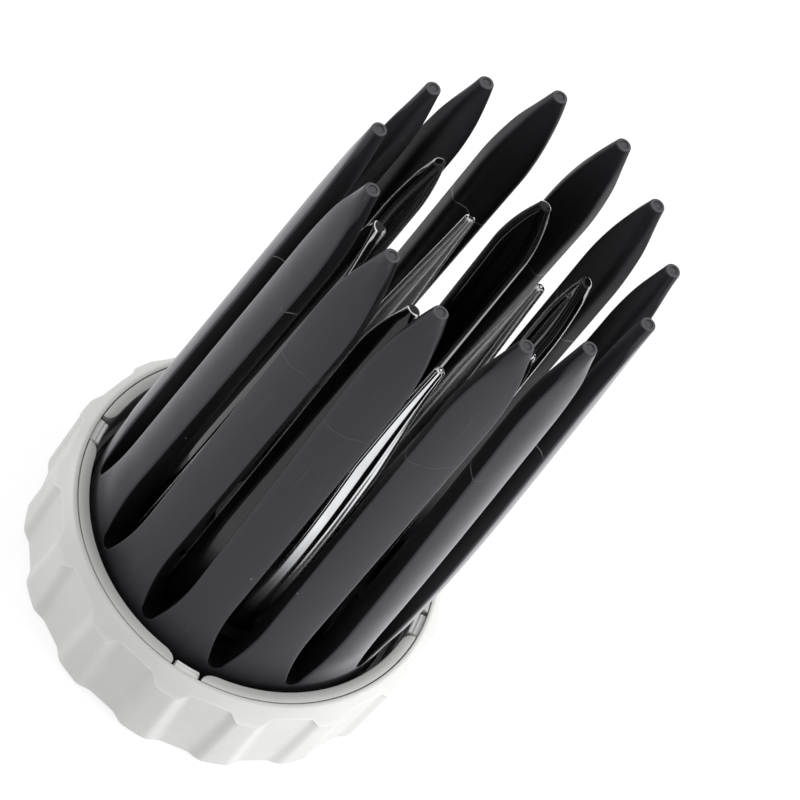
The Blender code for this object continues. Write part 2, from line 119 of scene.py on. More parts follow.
def polar(radius, angle, height):
    """Return the point at a radius, an angle and a height."""
    return (radius * math.cos(angle), radius * math.sin(angle), height)


def mesh_from(name, points, faces, sharp=32.0):
    """Make a mesh that is closed, faces outward and is smooth except at sharp edges."""
    shape = bmesh.new()
    made = [shape.verts.new(point) for point in points]
    for face in faces:
        shape.faces.new([made[index] for index in face])
    bmesh.ops.remove_doubles(shape, verts=shape.verts, dist=SAME_PLACE)
    bmesh.ops.dissolve_degenerate(shape, edges=shape.edges, dist=NO_AREA)
    bmesh.ops.recalc_face_normals(shape, faces=shape.faces)
    mesh = bpy.data.meshes.new(name)
    shape.to_mesh(mesh)
    shape.free()
    return shaded(mesh, sharp)


def shaded(mesh, sharp):
    """Shade a mesh smooth, except at edges sharper than an angle in degrees."""
    mesh.shade_smooth()
    mesh.set_sharp_from_angle(angle=sharp * DEGREE)
    return mesh


def loft(name, loops, closed=False, sharp=32.0):
    """Join equal closed loops of points. closed joins the last to the first; otherwise ends are capped."""
    size = len(loops[0])
    points = [point for loop in loops for point in loop]
    faces = []
    count = len(loops)
    for index in range(count if closed else count - 1):
        low, high = index * size, (index + 1) % count * size
        for step in range(size):
            after = (step + 1) % size
            faces.append((low + step, low + after, high + after, high + step))
    if not closed:
        for first in (0, (count - 1) * size):
            centre = np.mean(points[first:first + size], axis=0)
            points.append(tuple(centre))
            middle = len(points) - 1
            for step in range(size):
                faces.append((first + step, first + (step + 1) % size, middle))
    return mesh_from(name, points, faces, sharp)


def turned(name, outlines, start=0.0, sharp=32.0):
    """Stand outlines of (radius, height) points at even angles about Z. Ends on the axis become poles."""
    count, size = len(outlines), len(outlines[0])
    first = outlines[0]
    points, faces = [], []
    for turn, outline in enumerate(outlines):
        angle = start + turn * math.tau / count
        points += [polar(radius, angle, height) for radius, height in outline]
    on_axis = first[0][0] < ON_AXIS and first[-1][0] < ON_AXIS
    for turn in range(count):
        here, there = turn * size, (turn + 1) % count * size
        for step in range(size - 1 if on_axis else size):
            after = (step + 1) % size
            quad = [here + step, here + after, there + after, there + step]
            if first[step][0] < ON_AXIS:
                quad.remove(there + step)
            elif first[after][0] < ON_AXIS:
                quad.remove(there + after)
            faces.append(quad)
    return mesh_from(name, points, faces, sharp)


def revolve(name, profile, steps):
    """Turn one profile of (radius, height) points about Z."""
    return turned(name, [profile] * steps)


def added(name, data):
    """Put a new object of a mesh, a light or a camera in the scene."""
    item = bpy.data.objects.new(name, data)
    bpy.context.scene.collection.objects.link(item)
    return item


def piece(name, mesh, body, node, material, turn=0.0):
    """Add a piece that rides on a CAD body and stands for a CAD node, turned about Z by an angle."""
    item = added(name, mesh)
    item.rotation_euler.z = turn
    mesh.materials.append(material)
    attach(item, body)
    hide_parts(node)
    return item


def bevelled(item, width, segments=3):
    """Add a bevel on the sharp edges of a piece."""
    bevel = item.modifiers.new("Bevel", "BEVEL")
    bevel.width = width
    bevel.segments = segments
    bevel.limit_method = "ANGLE"
    bevel.angle_limit = 40.0 * DEGREE


def cut(mesh, cutter, name):
    """Return mesh with cutter taken away."""
    target = added(name, mesh)
    tool = added(name + "_tool", cutter)
    modifier = target.modifiers.new("Cut", "BOOLEAN")
    modifier.operation = "DIFFERENCE"
    modifier.solver = "EXACT"
    modifier.object = tool
    bpy.context.view_layer.update()
    result = bpy.data.meshes.new_from_object(target.evaluated_get(bpy.context.evaluated_depsgraph_get()))
    result.name = name
    for item in (target, tool):
        bpy.data.objects.remove(item, do_unlink=True)
    return result


def merged(name, meshes):
    """Return one mesh that holds several separate ones."""
    shape = bmesh.new()
    for mesh in meshes:
        shape.from_mesh(mesh)
    result = bpy.data.meshes.new(name)
    shape.to_mesh(result)
    shape.free()
    return result


# ---------------- material tools

class Look:
    """A Principled material and the nodes that feed it."""

    def __init__(self, name, seed=0.0):
        self.material = bpy.data.materials.new(name)
        self.material.use_nodes = True
        self.tree = self.material.node_tree
        self.shader = self.tree.nodes["Principled BSDF"]
        coordinates = self.add("TexCoord").outputs["Object"]
        chance = self.add("ObjectInfo").outputs["Random"]
        shift = self.line(chance, 0.9, seed)
        self.chance = chance
        self.fixed = coordinates
        self.place = self.add("VectorMath", {"operation": "ADD"}, [coordinates, shift]).outputs[0]

    def feed(self, socket, value):
        """Link a socket to an input, or set the input to a number, a vector or a colour."""
        if isinstance(value, bpy.types.NodeSocket):
            self.tree.links.new(value, socket)
        elif socket.type == "RGBA":
            socket.default_value = (*value, 1.0)
        else:
            socket.default_value = value

    def add(self, kind, settings=None, values=(), **inputs):
        """Add a node; inputs are numbers or sockets, by name or in order."""
        node = self.tree.nodes.new("ShaderNode" + kind)
        for key, value in (settings or {}).items():
            setattr(node, key, value)
        for index, value in enumerate(values):
            self.feed(node.inputs[index], value)
        for key, value in inputs.items():
            self.feed(node.inputs[key.replace("_", " ")], value)
        return node

    def math(self, operation, *values):
        """Add a Math node and return its output."""
        return self.add("Math", {"operation": operation}, values).outputs[0]

    def line(self, value, slope, offset):
        """Return a value times a slope plus an offset."""
        return self.math("MULTIPLY_ADD", value, slope, offset)

    def noise(self, scale, detail=4.0, rough=0.55, stretch=None):
        """Return a noise value; stretch scales the space on each axis first."""
        where = self.place
        if stretch:
            where = self.add("VectorMath", {"operation": "MULTIPLY"}, [where, stretch]).outputs[0]
        node = self.add("TexNoise", Vector=where, Scale=scale, Detail=detail, Roughness=rough)
        return node.outputs["Fac"]

    def spread(self, value, low, high, to_low=0.0, to_high=1.0):
        """Map a value from one range to another, and clamp it."""
        return self.add("MapRange", values=(value, low, high, to_low, to_high)).outputs["Result"]

    def even(self, value, to_low=0.0, to_high=1.0):
        """Spread a noise's usual middle range over two values."""
        return self.spread(value, 0.3, 0.7, to_low, to_high)

    def product(self, *values):
        """Multiply several values."""
        result = values[0]
        for value in values[1:]:
            result = self.math("MULTIPLY", result, value)
        return result

    def mix(self, share, first, second):
        """Mix two colours, each a tuple or a socket."""
        node = self.add("Mix", {"data_type": "RGBA"}, [share])
        self.feed(node.inputs[6], first)
        self.feed(node.inputs[7], second)
        return node.outputs[2]

    def tint(self, base, mask, amount, colour):
        """Lay a colour over a base where a mask is high, at most by an amount."""
        return self.mix(self.product(mask, amount), base, colour)

    def rings(self, rate):
        """Return waves about the object's own Z axis, like turning marks."""
        squares = [self.math("POWER", self.axis(name), 2.0) for name in ("X", "Y")]
        return self.math("SINE", self.product(self.math("SQRT", self.math("ADD", *squares)), rate))

    def inverse(self, value):
        """Return one minus a value."""
        return self.math("SUBTRACT", 1.0, value)

    def bump(self, height, distance, strength=1.0, under=None):
        """Return a normal raised by height, a socket of about 0 to 1."""
        node = self.add("Bump", Height=height, Distance=distance, Strength=strength)
        if under is not None:
            self.tree.links.new(under, node.inputs["Normal"])
        return node.outputs["Normal"]

    def axis(self, name):
        """Return one coordinate of the object's own space."""
        return self.add("SeparateXYZ", values=[self.fixed]).outputs[name]

    def facing(self, name):
        """Return one component of the surface's direction in the object's own space."""
        direction = self.add("TexCoord").outputs["Normal"]
        return self.add("SeparateXYZ", values=[direction]).outputs[name]

    def edges(self, low, high):
        """Return how much a place is a worn convex edge."""
        return self.spread(self.add("NewGeometry").outputs["Pointiness"], low, high)

    def set(self, **inputs):
        """Connect or set inputs of the shader."""
        for key, value in inputs.items():
            self.feed(self.shader.inputs[key.replace("_", " ")], value)
        return self.material


def specks(look, scale, size, share):
    """Return a mask of small separate specks."""
    cells = look.add("TexVoronoi", Vector=look.place, Scale=scale)
    near = look.spread(cells.outputs["Distance"], size, size * 0.6)
    chance = look.add("SeparateXYZ", values=[cells.outputs["Color"]]).outputs[0]
    return look.product(near, look.math("GREATER_THAN", chance, 1.0 - share))


def parting_line(look):
    """Return a mask of a wavy, broken line across a prong, tilted by chance."""
    wave = look.noise(170.0, 2.0, 0.5, stretch=(1.0, 1.0, 0.15))
    level = look.line(wave, PARTING_WAVE, PARTING_Z - PARTING_WAVE / 2)
    tilt = look.line(look.chance, PARTING_TILT, -PARTING_TILT / 2)
    level = look.line(look.axis("Y"), tilt, level)
    away = look.math("ABSOLUTE", look.math("SUBTRACT", look.axis("Z"), level))
    broken = look.spread(look.noise(420.0, 2.0), 0.42, 0.55)
    return look.product(look.spread(away, *PARTING_FADE), look.line(broken, 0.75, 0.25))


def matte_black():
    """Outer prongs: matte outside with a grain, dust, a parting line and a painted sheen that lightens the
    outer faces at grazing view angles; smooth deep black inside.
    """
    look = Look("matte_black")
    mottle = look.noise(160.0, 3.0)
    grain = look.noise(5200.0, 3.0, 0.6)
    drawn = look.noise(1500.0, 3.0, 0.5, stretch=(1.0, 1.0, 0.035))
    dust = specks(look, 420.0, 0.055, 0.035)
    line = parting_line(look)

    outward = look.facing("X")
    up = look.axis("Z")
    near_tip = look.spread(up, OUTER_TIP_Z - 1.6 * MM, OUTER_TIP_Z - 0.9 * MM)
    top = look.product(look.spread(look.facing("Z"), 0.55, 0.9), near_tip)
    face = look.math("MAXIMUM", look.spread(outward, 0.1, 0.4), top)

    base = look.mix(look.even(mottle), BLACK_LOW, BLACK_HIGH)
    base = look.tint(base, look.spread(drawn, 0.6, 0.75), 0.25, BLACK_WORN)
    base = look.tint(base, look.edges(0.505, 0.56), 0.35, BLACK_WORN)
    base = look.mix(face, GLOSS_BASE, base)
    # The flat, upward-facing top of each tip is painted a lighter grey.
    base = look.tint(base, top, 0.8, TIP_TOP_GREY)
    base = look.mix(look.product(line, look.line(face, -0.86, 0.95)), base, PARTING_GREY)
    base = look.tint(base, dust, 0.7, DUST_GREY)
    # Painted sheen: the outer faces are lightened towards grazing view angles, standing in for the sheen
    # reflection.
    sheen_share = look.spread(look.add("LayerWeight", Blend=0.5).outputs["Facing"], 0.55, 0.93)
    base = look.mix(look.product(sheen_share, sheen_share, look.spread(outward, 0.5, 0.9)), base, PAINTED_SHEEN)

    rough = look.spread(look.line(drawn, 0.4, mottle), 0.45, 0.95, 0.44, 0.56)
    deep = look.spread(up, *GLOSS_FADE)
    inward = look.spread(outward, -0.45, 0.1, 0.42, 0.14)
    shine = look.product(look.line(deep, 0.9, 0.1), inward, look.inverse(face))
    shine = look.line(face, 0.28, shine)
    normal = look.bump(look.product(grain, look.line(face, 0.85, 0.15)), 0.012 * MM, 0.7)
    normal = look.bump(drawn, 0.02 * MM, 0.35, normal)
    normal = look.bump(line, 0.03 * MM, 0.8, normal)
    return look.set(Base_Color=base, Roughness=rough, Normal=normal, IOR=1.46, Specular_IOR_Level=shine,
                    Specular_Tint=COOL)


def carrier_black():
    """Outer carrier: the same plastic, slightly smoother."""
    look = Look("carrier_black", 3.1)
    mottle = look.noise(240.0, 4.0)
    grain = look.noise(4600.0, 3.0, 0.6)
    base = look.mix(look.even(mottle), BLACK_LOW, BLACK_HIGH)
    base = look.tint(base, look.edges(0.505, 0.57), 0.4, BLACK_WORN)
    rough = look.even(mottle, 0.4, 0.52)
    normal = look.bump(grain, 0.012 * MM, 0.6)
    return look.set(Base_Color=base, Roughness=rough, Normal=normal, IOR=1.46)


def gloss_black():
    """Wide prongs: glossy black with faint flow waves, hairline scratches and painted highlights along the
    rims.
    """
    look = Look("gloss_black_wide", 1.3)
    wave = look.noise(90.0, 2.0, 0.4, stretch=(1.0, 1.0, 0.3))
    scratch = look.noise(2600.0, 2.0, 0.5, stretch=(1.0, 1.0, 0.02))
    smear = look.noise(140.0, 4.0)
    outward = look.facing("X")
    # Painted highlight: a near-white band with a clear coat where the sides turn, standing in for the
    # reflection along each rim.
    rim_highlight = look.spread(look.math("ABSOLUTE", look.math("SUBTRACT", outward, 0.38)), 0.28, 0.14)
    base = look.mix(look.spread(smear, 0.35, 0.7), (0.0022, 0.0022, 0.0026), (0.005, 0.005, 0.0056))
    base = look.tint(base, look.edges(0.51, 0.57), 0.2, (0.04, 0.04, 0.042))
    base = look.tint(base, rim_highlight, 0.95, RIM_HIGHLIGHT)
    rough = look.spread(smear, 0.35, 0.75, 0.03, 0.06)
    rough = look.line(look.spread(scratch, 0.62, 0.78), 0.05, rough)
    rough = look.math("ADD", look.spread(outward, -0.3, 0.1, 0.02, 0.0), rough)
    deep = look.spread(look.axis("Z"), *GLOSS_FADE)
    rough = look.line(look.inverse(deep), 0.35, rough)
    shine = look.line(deep, 0.25, 0.05)
    normal = look.bump(wave, 0.05 * MM, 0.35)
    normal = look.bump(scratch, 0.004 * MM, 0.5, normal)
    return look.set(Base_Color=base, Roughness=rough, Normal=normal, IOR=1.52, Specular_IOR_Level=shine,
                    Coat_Weight=look.product(rim_highlight, 0.8), Coat_Roughness=0.02)


def polished_steel():
    """Narrow prongs: stained, polished steel with painted highlight bands on a darker inner side; dull
    towards the foot, where painted shade darkens them.
    """
    look = Look("polished_steel", 2.9)
    stain = look.noise(160.0, 3.0, 0.5)
    drawn = look.noise(500.0, 1.0, 0.4, stretch=(1.0, 1.0, 0.01))
    foot = look.spread(look.axis("Z"), *STEEL_FOOT, 1.0, 0.0)
    outward = look.facing("X")
    # Painted reflection: the inner side is painted a darker grey, crossed by near-white bands that stand in
    # for highlights.
    inner = look.spread(outward, 0.0, -0.25)
    highlight_bands = look.math("SINE", look.line(look.facing("Y"), HIGHLIGHT_BAND_RATE, 0.6))
    highlight_bands = look.product(look.spread(highlight_bands, 0.75, 0.97), inner, look.inverse(foot))
    base = look.mix(look.spread(stain, 0.3, 0.75), (0.70, 0.71, 0.73), (0.82, 0.83, 0.84))
    base = look.tint(base, look.spread(drawn, 0.55, 0.75), 0.35, (0.42, 0.43, 0.44))
    base = look.tint(base, look.edges(0.52, 0.6), 0.5, STEEL_WHITE)
    base = look.mix(inner, base, (0.5, 0.5, 0.51))
    base = look.mix(highlight_bands, base, STEEL_WHITE)
    # Painted shade: the colour darkens to near black towards the foot, deep inside the crown.
    base = look.mix(foot, base, (0.05, 0.05, 0.053))
    rough = look.spread(stain, 0.3, 0.75, 0.06, 0.1)
    rough = look.math("ADD", look.spread(outward, -0.3, 0.2, 0.22, 0.0), rough)
    rough = look.line(foot, 0.4, rough)
    return look.set(Base_Color=base, Roughness=rough, Metallic=look.line(highlight_bands, -0.7, 1.0))


def hub_black():
    """Inner carrier: smooth dark plastic with turning marks."""
    look = Look("hub_black", 5.7)
    smear = look.noise(210.0, 4.0)
    base = look.mix(look.even(smear), (0.004, 0.004, 0.0046), (0.008, 0.008, 0.009))
    base = look.tint(base, look.edges(0.51, 0.57), 0.2, (0.03, 0.03, 0.032))
    rough = look.even(smear, 0.5, 0.62)
    normal = look.bump(look.rings(9000.0), 0.004 * MM, 0.3)
    return look.set(Base_Color=base, Roughness=rough, Normal=normal, Specular_IOR_Level=0.12)


def moulded_grey(name, levels, rough_range, seed):
    """Grey plastic with an eroded texture, cloudy colour, rubbed edges and specks.

    levels are the brightness of its dark and light clouds and of its rubbed edges.
    """
    low, high, worn = [(level, level, level - 0.01) for level in levels]
    look = Look(name, seed)
    cloud = look.noise(55.0, 4.0, 0.6)
    mottle = look.noise(420.0, 4.0, 0.6)
    grain = look.noise(3400.0, 4.0, 0.65)
    dirt = specks(look, 260.0, 0.05, 0.02)
    pits = look.add("TexVoronoi", Vector=look.place, Scale=2300.0).outputs["Distance"]
    base = look.mix(look.even(cloud), low, high)
    base = look.tint(base, look.spread(mottle, 0.45, 0.8), 0.18, low)
    base = look.tint(base, look.edges(0.502, 0.54), 0.35, worn)
    base = look.tint(base, dirt, 0.6, (0.10, 0.10, 0.095))
    rough = look.spread(look.line(mottle, 0.5, cloud), 0.5, 1.0, *rough_range)
    normal = look.bump(grain, 0.02 * MM, 0.6)
    normal = look.bump(pits, 0.016 * MM, 0.4, normal)
    return look.set(Base_Color=base, Roughness=rough, Normal=normal, IOR=1.47)


def turned_metal(name, low, high, seed):
    """Metal with fine turning marks, stains and bright edges."""
    look = Look(name, seed)
    stain = look.noise(380.0, 4.0)
    base = look.mix(look.even(stain), low, high)
    base = look.tint(base, look.edges(0.51, 0.58), 0.4, (0.4, 0.4, 0.4))
    rough = look.even(stain, 0.2, 0.38)
    normal = look.bump(look.rings(42000.0), 0.003 * MM, 0.4)
    return look.set(Base_Color=base, Roughness=rough, Normal=normal, Metallic=1.0)


def gasket_rubber():
    """Dull black rubber with talc left in its grain."""
    look = Look("gasket_rubber", 8.3)
    mottle = look.noise(700.0, 5.0, 0.6)
    talc = look.spread(look.noise(180.0, 4.0), 0.5, 0.75)
    base = look.mix(look.product(talc, 0.4), (0.018, 0.018, 0.018), (0.09, 0.09, 0.088))
    rough = look.even(mottle, 0.7, 0.92)
    return look.set(Base_Color=base, Roughness=rough, Normal=look.bump(mottle, 0.03 * MM, 0.6))


# ---------------- prongs

# How far each tip is bent from its true place, as (outward, sideways) in millimetres. A third and a
# fourth number bow the prong outward and sideways, most at a third of its length, where BOW_SCALE
# brings the curve of the bow to 1.
BEND_POWER = 1.25
BOW_SCALE = 27 / 4
OUTER_BENDS = [(0.6, -0.2), (0.6, -1.15), (-0.8, 0.65), (-0.7, 0.1, 0.4), (0.4, 0.4, 0.8), (0.7, 0.2, 0.3),
               (-0.2, -0.1), (0.3, -0.6), (0.0, -0.2), (-1.1, 0.7), (-0.65, -0.6), (0.3, 0.9), (0.1, 0.4)]
WIDE_BENDS = [(0.5, 0.75), (-0.1, 0.5), (0.6, -0.05), (0.45, -0.75), (-0.05, -0.5), (0.0, 0.0)]
NARROW_BENDS = [(0.0, 0.0), (0.1, -0.6), (-0.2, 0.05), (0.0, 0.0), (0.0, 0.0), (0.15, -0.15, 0.0, 1.2)]

OUTER_NODES, WIDE_NODES, NARROW_NODES, TAB_NODES = [
    sorted(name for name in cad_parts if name.startswith(stem))
    for stem in ("outer_prong_", "inner_wide_prong_", "inner_narrow_prong_", "lock_tab_")
]

# Half width at the root and the tip, then thickness at the root and the tip.
WIDE_SIZE = (2.9 * MM, 0.85 * MM, 3.0 * MM, 1.45 * MM)
NARROW_SIZE = (2.2 * MM, 0.7 * MM, 3.4 * MM, 1.4 * MM)
WIDE_RADIUS = 17.6 * MM
NARROW_RADIUS = 15.9 * MM
WIDE_POCKET_INNER = 14.15 * MM
NARROW_POCKET = (12.05 * MM, 16.2 * MM)
FACE_STEPS = 6
CORNER_STEPS = 6
FLANK_STEPS = 4
BACK_STEPS = 12
ROD_POINTS = 72
ROD_FULL_HALF = 2.2 * MM
ROD_GROOVE_DEPTH = 0.07
ROD_GROOVE_WIDTH = 14.0 * DEGREE
ROD_GROOVES = [turn * DEGREE for turn in (-70, -26, 26, 70)]

LEDGE_Z = 18.0 * MM
RIM_Z = heights("fluted_cap")[1]
HUB_TOP_Z = heights("inner_carrier")[1]
OUTER_ROOT_Z, OUTER_TIP_Z = heights(OUTER_NODES[0])
FOOT_RADIUS = radii(OUTER_NODES[0])[1]

PARTING_Z = LEDGE_Z + 57.0 * MM
PARTING_WAVE = 6.0 * MM
PARTING_TILT = 1.2
PARTING_FADE = (0.12 * MM, 0.05 * MM)
PARTING_GREY = (0.24, 0.24, 0.25)
DUST_GREY = (0.32, 0.32, 0.33)
# Colour of the painted highlight along the wide prongs' rims.
RIM_HIGHLIGHT = (0.9, 0.9, 0.91)
STEEL_WHITE = (0.95, 0.95, 0.95)
# Heights over which the narrow prongs' painted shade at the foot fades out upward.
STEEL_FOOT = (20.0 * MM, 44.0 * MM)
# How closely the painted highlight bands on the narrow prongs' inner side follow one another.
HIGHLIGHT_BAND_RATE = 13.0
BLACK_LOW = (0.0145, 0.0144, 0.0168)
BLACK_HIGH = (0.0185, 0.0184, 0.0212)
# Colour of the painted sheen on the outer prongs' faces at grazing view angles.
PAINTED_SHEEN = (0.235, 0.235, 0.245)
COOL = (0.98, 0.97, 1.08)
BLACK_WORN = (0.05, 0.05, 0.052)
# Lighter grey painted on the flat top of each outer prong's tip.
TIP_TOP_GREY = (0.075, 0.075, 0.078)
GLOSS_BASE = (0.004, 0.004, 0.0046)
GLOSS_FADE = (19.0 * MM, 34.0 * MM)

FEET_RADIUS = 23.88 * MM
FEET_GAP = 0.016 * MM
FOOT_HALF = math.pi * FEET_RADIUS / len(OUTER_NODES) - FEET_GAP / 2
FOOT_CORNER = 0.03 * MM
FOOT_BOTTOM_Z = 12.0 * MM
TENON_HALF = 3.0 * MM
TENON_RADIUS = 22.9 * MM
TENON_THICKNESS = 2.4 * MM
LEDGE_ROUND = 1.3 * MM
LEDGE_STEPS = 9
OUTER_ROOT_HALF = 4.65 * MM
OUTER_WAIST_HALF = 3.1 * MM
OUTER_SWELL = 0.3 * MM
OUTER_TIP_HALF = 1.0 * MM
OUTER_TIP_ROUND = 0.28 * MM
MARK_RADIUS = 0.6 * MM
MARK_DEPTH = 0.16 * MM
OUTER_TAPER_POWER = 1.9
OUTER_SETTLE_LENGTH = 7.0 * MM
OUTER_BOW = 0.3 * MM
OUTER_FLARE_LENGTH = 13.0 * MM
OUTER_TAPER_LENGTH = 17.3 * MM
OUTER_ROOT_THICKNESS = 4.4 * MM
OUTER_SHOULDER_THICKNESS = 3.1 * MM
OUTER_TIP_THICKNESS = 2.0 * MM
OUTER_LEAN = 0.0375


def section(half, outer, thickness, corner, flank, power, bow=0.0):
    """Closed cross-section at +X: a bowed outer face, rounded corners, radial sides and a crowned back.

    flank is the share of the thickness at which the crowned back begins; power is how square it is.
    """
    flat = max(half - corner, half * 0.3)
    right = [(flat * step / FACE_STEPS, 0.0) for step in range(FACE_STEPS)]
    for step in range(CORNER_STEPS + 1):
        turn = step / CORNER_STEPS * math.pi / 2
        right.append((flat + (half - flat) * math.sin(turn), corner * (1 - math.cos(turn))))
    begin = max(flank * thickness, corner * 1.05)
    for step in range(1, FLANK_STEPS):
        right.append((half, corner + (begin - corner) * step / FLANK_STEPS))
    for step in range(BACK_STEPS):
        turn = step / BACK_STEPS * math.pi / 2
        wide = math.cos(turn) ** (2.0 / power)
        deep = math.sin(turn) ** (2.0 / power)
        right.append((half * wide, begin + (thickness - begin) * deep))
    left = [(-wide, deep) for wide, deep in reversed(right[1:])]
    places = []
    for wide, deep in right + [(0.0, thickness)] + left:
        lift = bow * (1 - (wide / half) ** 2)
        places.append(polar(outer - deep + lift, wide / outer, 0.0)[:2])
    return places


def rod_section(half, outer, thickness, *unused):
    """Closed cross-section at +X: an ellipse with shallow grooves along its outer side.

    A rod has no corners or flanks, so the rest of the values that section() takes are unused.
    """
    places = []
    scale = min(1.0, half / ROD_FULL_HALF)
    for step in range(ROD_POINTS):
        turn = (step + 0.5) / ROD_POINTS * math.tau
        groove = 0.0
        for centre in ROD_GROOVES:
            away = around(turn - centre) / ROD_GROOVE_WIDTH
            groove += math.exp(-away * away)
        share = 1 - ROD_GROOVE_DEPTH * groove * scale
        wide = half * math.sin(turn) * share
        deep = thickness / 2 * (1 - math.cos(turn) * share)
        places.append(polar(outer - deep, wide / outer, 0.0)[:2])
    return places


def spread_stations(total, dense):
    """Return rises from 0 to total, closer together within each (start, end, step) range."""
    rises = {0.0, total}
    for start, end, step in dense:
        count = max(1, int(round((end - start) / step)))
        rises |= {start + (end - start) * index / count for index in range(count + 1)}
    return sorted(rise for rise in rises if 0.0 <= rise <= total)


def at_height(flat, height):
    """Lift a flat loop to a height."""
    return [(x, y, height) for x, y in flat]


def shrunk(flat, share, centre):
    """Scale a flat loop towards a centre."""
    return [(centre[0] + (x - centre[0]) * share, centre[1] + (y - centre[1]) * share) for x, y in flat]


def circle_like(flat, radius, centre):
    """Return a circle with a point in the direction of each point of a flat loop."""
    result = []
    for x, y in flat:
        away = Vector((x - centre[0], y - centre[1])).normalized() * radius
        result.append((centre[0] + away.x, centre[1] + away.y))
    return result


def rounded(flat, share, half, thickness):
    """Blend a flat loop towards an ellipse of a half width and a thickness."""
    places = np.array(flat)
    centre = (places[:, 0].max() + places[:, 0].min()) / 2
    result = []
    for x, y in flat:
        turn = math.atan2(y / half, (x - centre) / (thickness / 2))
        goal = (centre + thickness / 2 * math.cos(turn), half * math.sin(turn))
        result.append((x + (goal[0] - x) * share, y + (goal[1] - y) * share))
    return result


def tip_loops(flat, top, edge, mark_radius, mark_depth):
    """Loops that round off a tip and sink a round mark into it."""
    places = np.array(flat)
    centre = ((places[:, 0].max() + places[:, 0].min()) / 2, 0.0)
    half = places[:, 1].max()
    loops = []
    for step in range(1, 5):
        turn = step / 4 * math.pi / 2
        share = 1 - edge / half * (1 - math.cos(turn))
        loops.append(at_height(shrunk(flat, share, centre), top - edge * (1 - math.sin(turn))))
    if mark_radius:
        for radius, drop in ((1.12, 0.0), (1.0, 0.25), (0.94, 1.0), (0.5, 1.05)):
            loops.append(at_height(circle_like(flat, mark_radius * radius, centre), top - mark_depth * drop))
        loops.append(at_height(circle_like(flat, mark_radius * 0.2, centre), top - mark_depth * 0.85))
    else:
        loops.append(at_height(shrunk(flat, 0.45, centre), top))
    return loops


def outer_blade():
    """Long prong: wedge root, flared foot, waist, slight swell, rounded taper and a marked flat tip."""
    length = OUTER_TIP_Z - LEDGE_Z
    taper_start = length - OUTER_TAPER_LENGTH
    edge = OUTER_TIP_ROUND
    dense = [(0.0, OUTER_FLARE_LENGTH, 0.9 * MM), (OUTER_FLARE_LENGTH, taper_start, 3.2 * MM),
             (taper_start, length - 5 * MM, 0.8 * MM), (length - 5 * MM, length - edge, 0.4 * MM)]
    tenon = section(TENON_HALF, TENON_RADIUS, TENON_THICKNESS, 0.3 * MM, 0.8, 6.0)
    foot = section(FOOT_HALF, FOOT_RADIUS, OUTER_ROOT_THICKNESS, FOOT_CORNER, 0.96, 12.0)
    middle = (FOOT_RADIUS - OUTER_ROOT_THICKNESS / 2, 0.0)
    loops = [at_height(shrunk(tenon, 0.93, middle), OUTER_ROOT_Z), at_height(tenon, OUTER_ROOT_Z + 0.3 * MM),
             at_height(tenon, FOOT_BOTTOM_Z), at_height(shrunk(foot, 0.96, middle), FOOT_BOTTOM_Z),
             at_height(foot, FOOT_BOTTOM_Z + 0.25 * MM), at_height(foot, LEDGE_Z - 1.6 * MM)]
    for step in range(LEDGE_STEPS):
        turn = step / LEDGE_STEPS * math.pi / 2
        half = OUTER_ROOT_HALF + (FOOT_HALF - OUTER_ROOT_HALF) * (1 - math.sin(turn))
        corner = FOOT_CORNER + (0.3 * MM - FOOT_CORNER) * (1 - math.cos(turn))
        ledge = section(half, FOOT_RADIUS, OUTER_ROOT_THICKNESS, corner, 0.96 - 0.11 * step / LEDGE_STEPS,
                        12.0 - 5.0 * step / LEDGE_STEPS)
        loops.append(at_height(ledge, LEDGE_Z - LEDGE_ROUND * math.cos(turn)))
    for rise in spread_stations(length - edge, dense):
        flare = max(0.0, 1.0 - rise / OUTER_FLARE_LENGTH) ** 2.2
        taper = max(0.0, (rise - taper_start) / OUTER_TAPER_LENGTH)
        body = OUTER_WAIST_HALF + OUTER_SWELL * min(1.0, rise / taper_start)
        half = body + (OUTER_ROOT_HALF - OUTER_WAIST_HALF) * flare
        half -= (body - OUTER_TIP_HALF) * taper ** OUTER_TAPER_POWER
        drop = OUTER_ROOT_THICKNESS - OUTER_SHOULDER_THICKNESS
        thickness = OUTER_ROOT_THICKNESS - drop * min(1.0, rise / taper_start)
        thickness -= (OUTER_SHOULDER_THICKNESS - OUTER_TIP_THICKNESS) * taper ** 2
        settle = smooth(rise / OUTER_SETTLE_LENGTH)
        corner = 0.3 * MM + 0.05 * MM * settle
        flank = 0.85 - 0.53 * settle
        power = 7.0 - 3.7 * settle
        bow = OUTER_BOW * settle * (1 - taper)
        flat = section(half, FOOT_RADIUS - OUTER_LEAN * rise, thickness, corner, flank, power, bow)
        flat = rounded(flat, smooth((taper - 0.5) / 0.5), half, thickness)
        loops.append(at_height(flat, LEDGE_Z + rise))
    loops += tip_loops(flat, OUTER_TIP_Z, edge, MARK_RADIUS, MARK_DEPTH)
    return loft("outer_blade", loops, sharp=50.0)


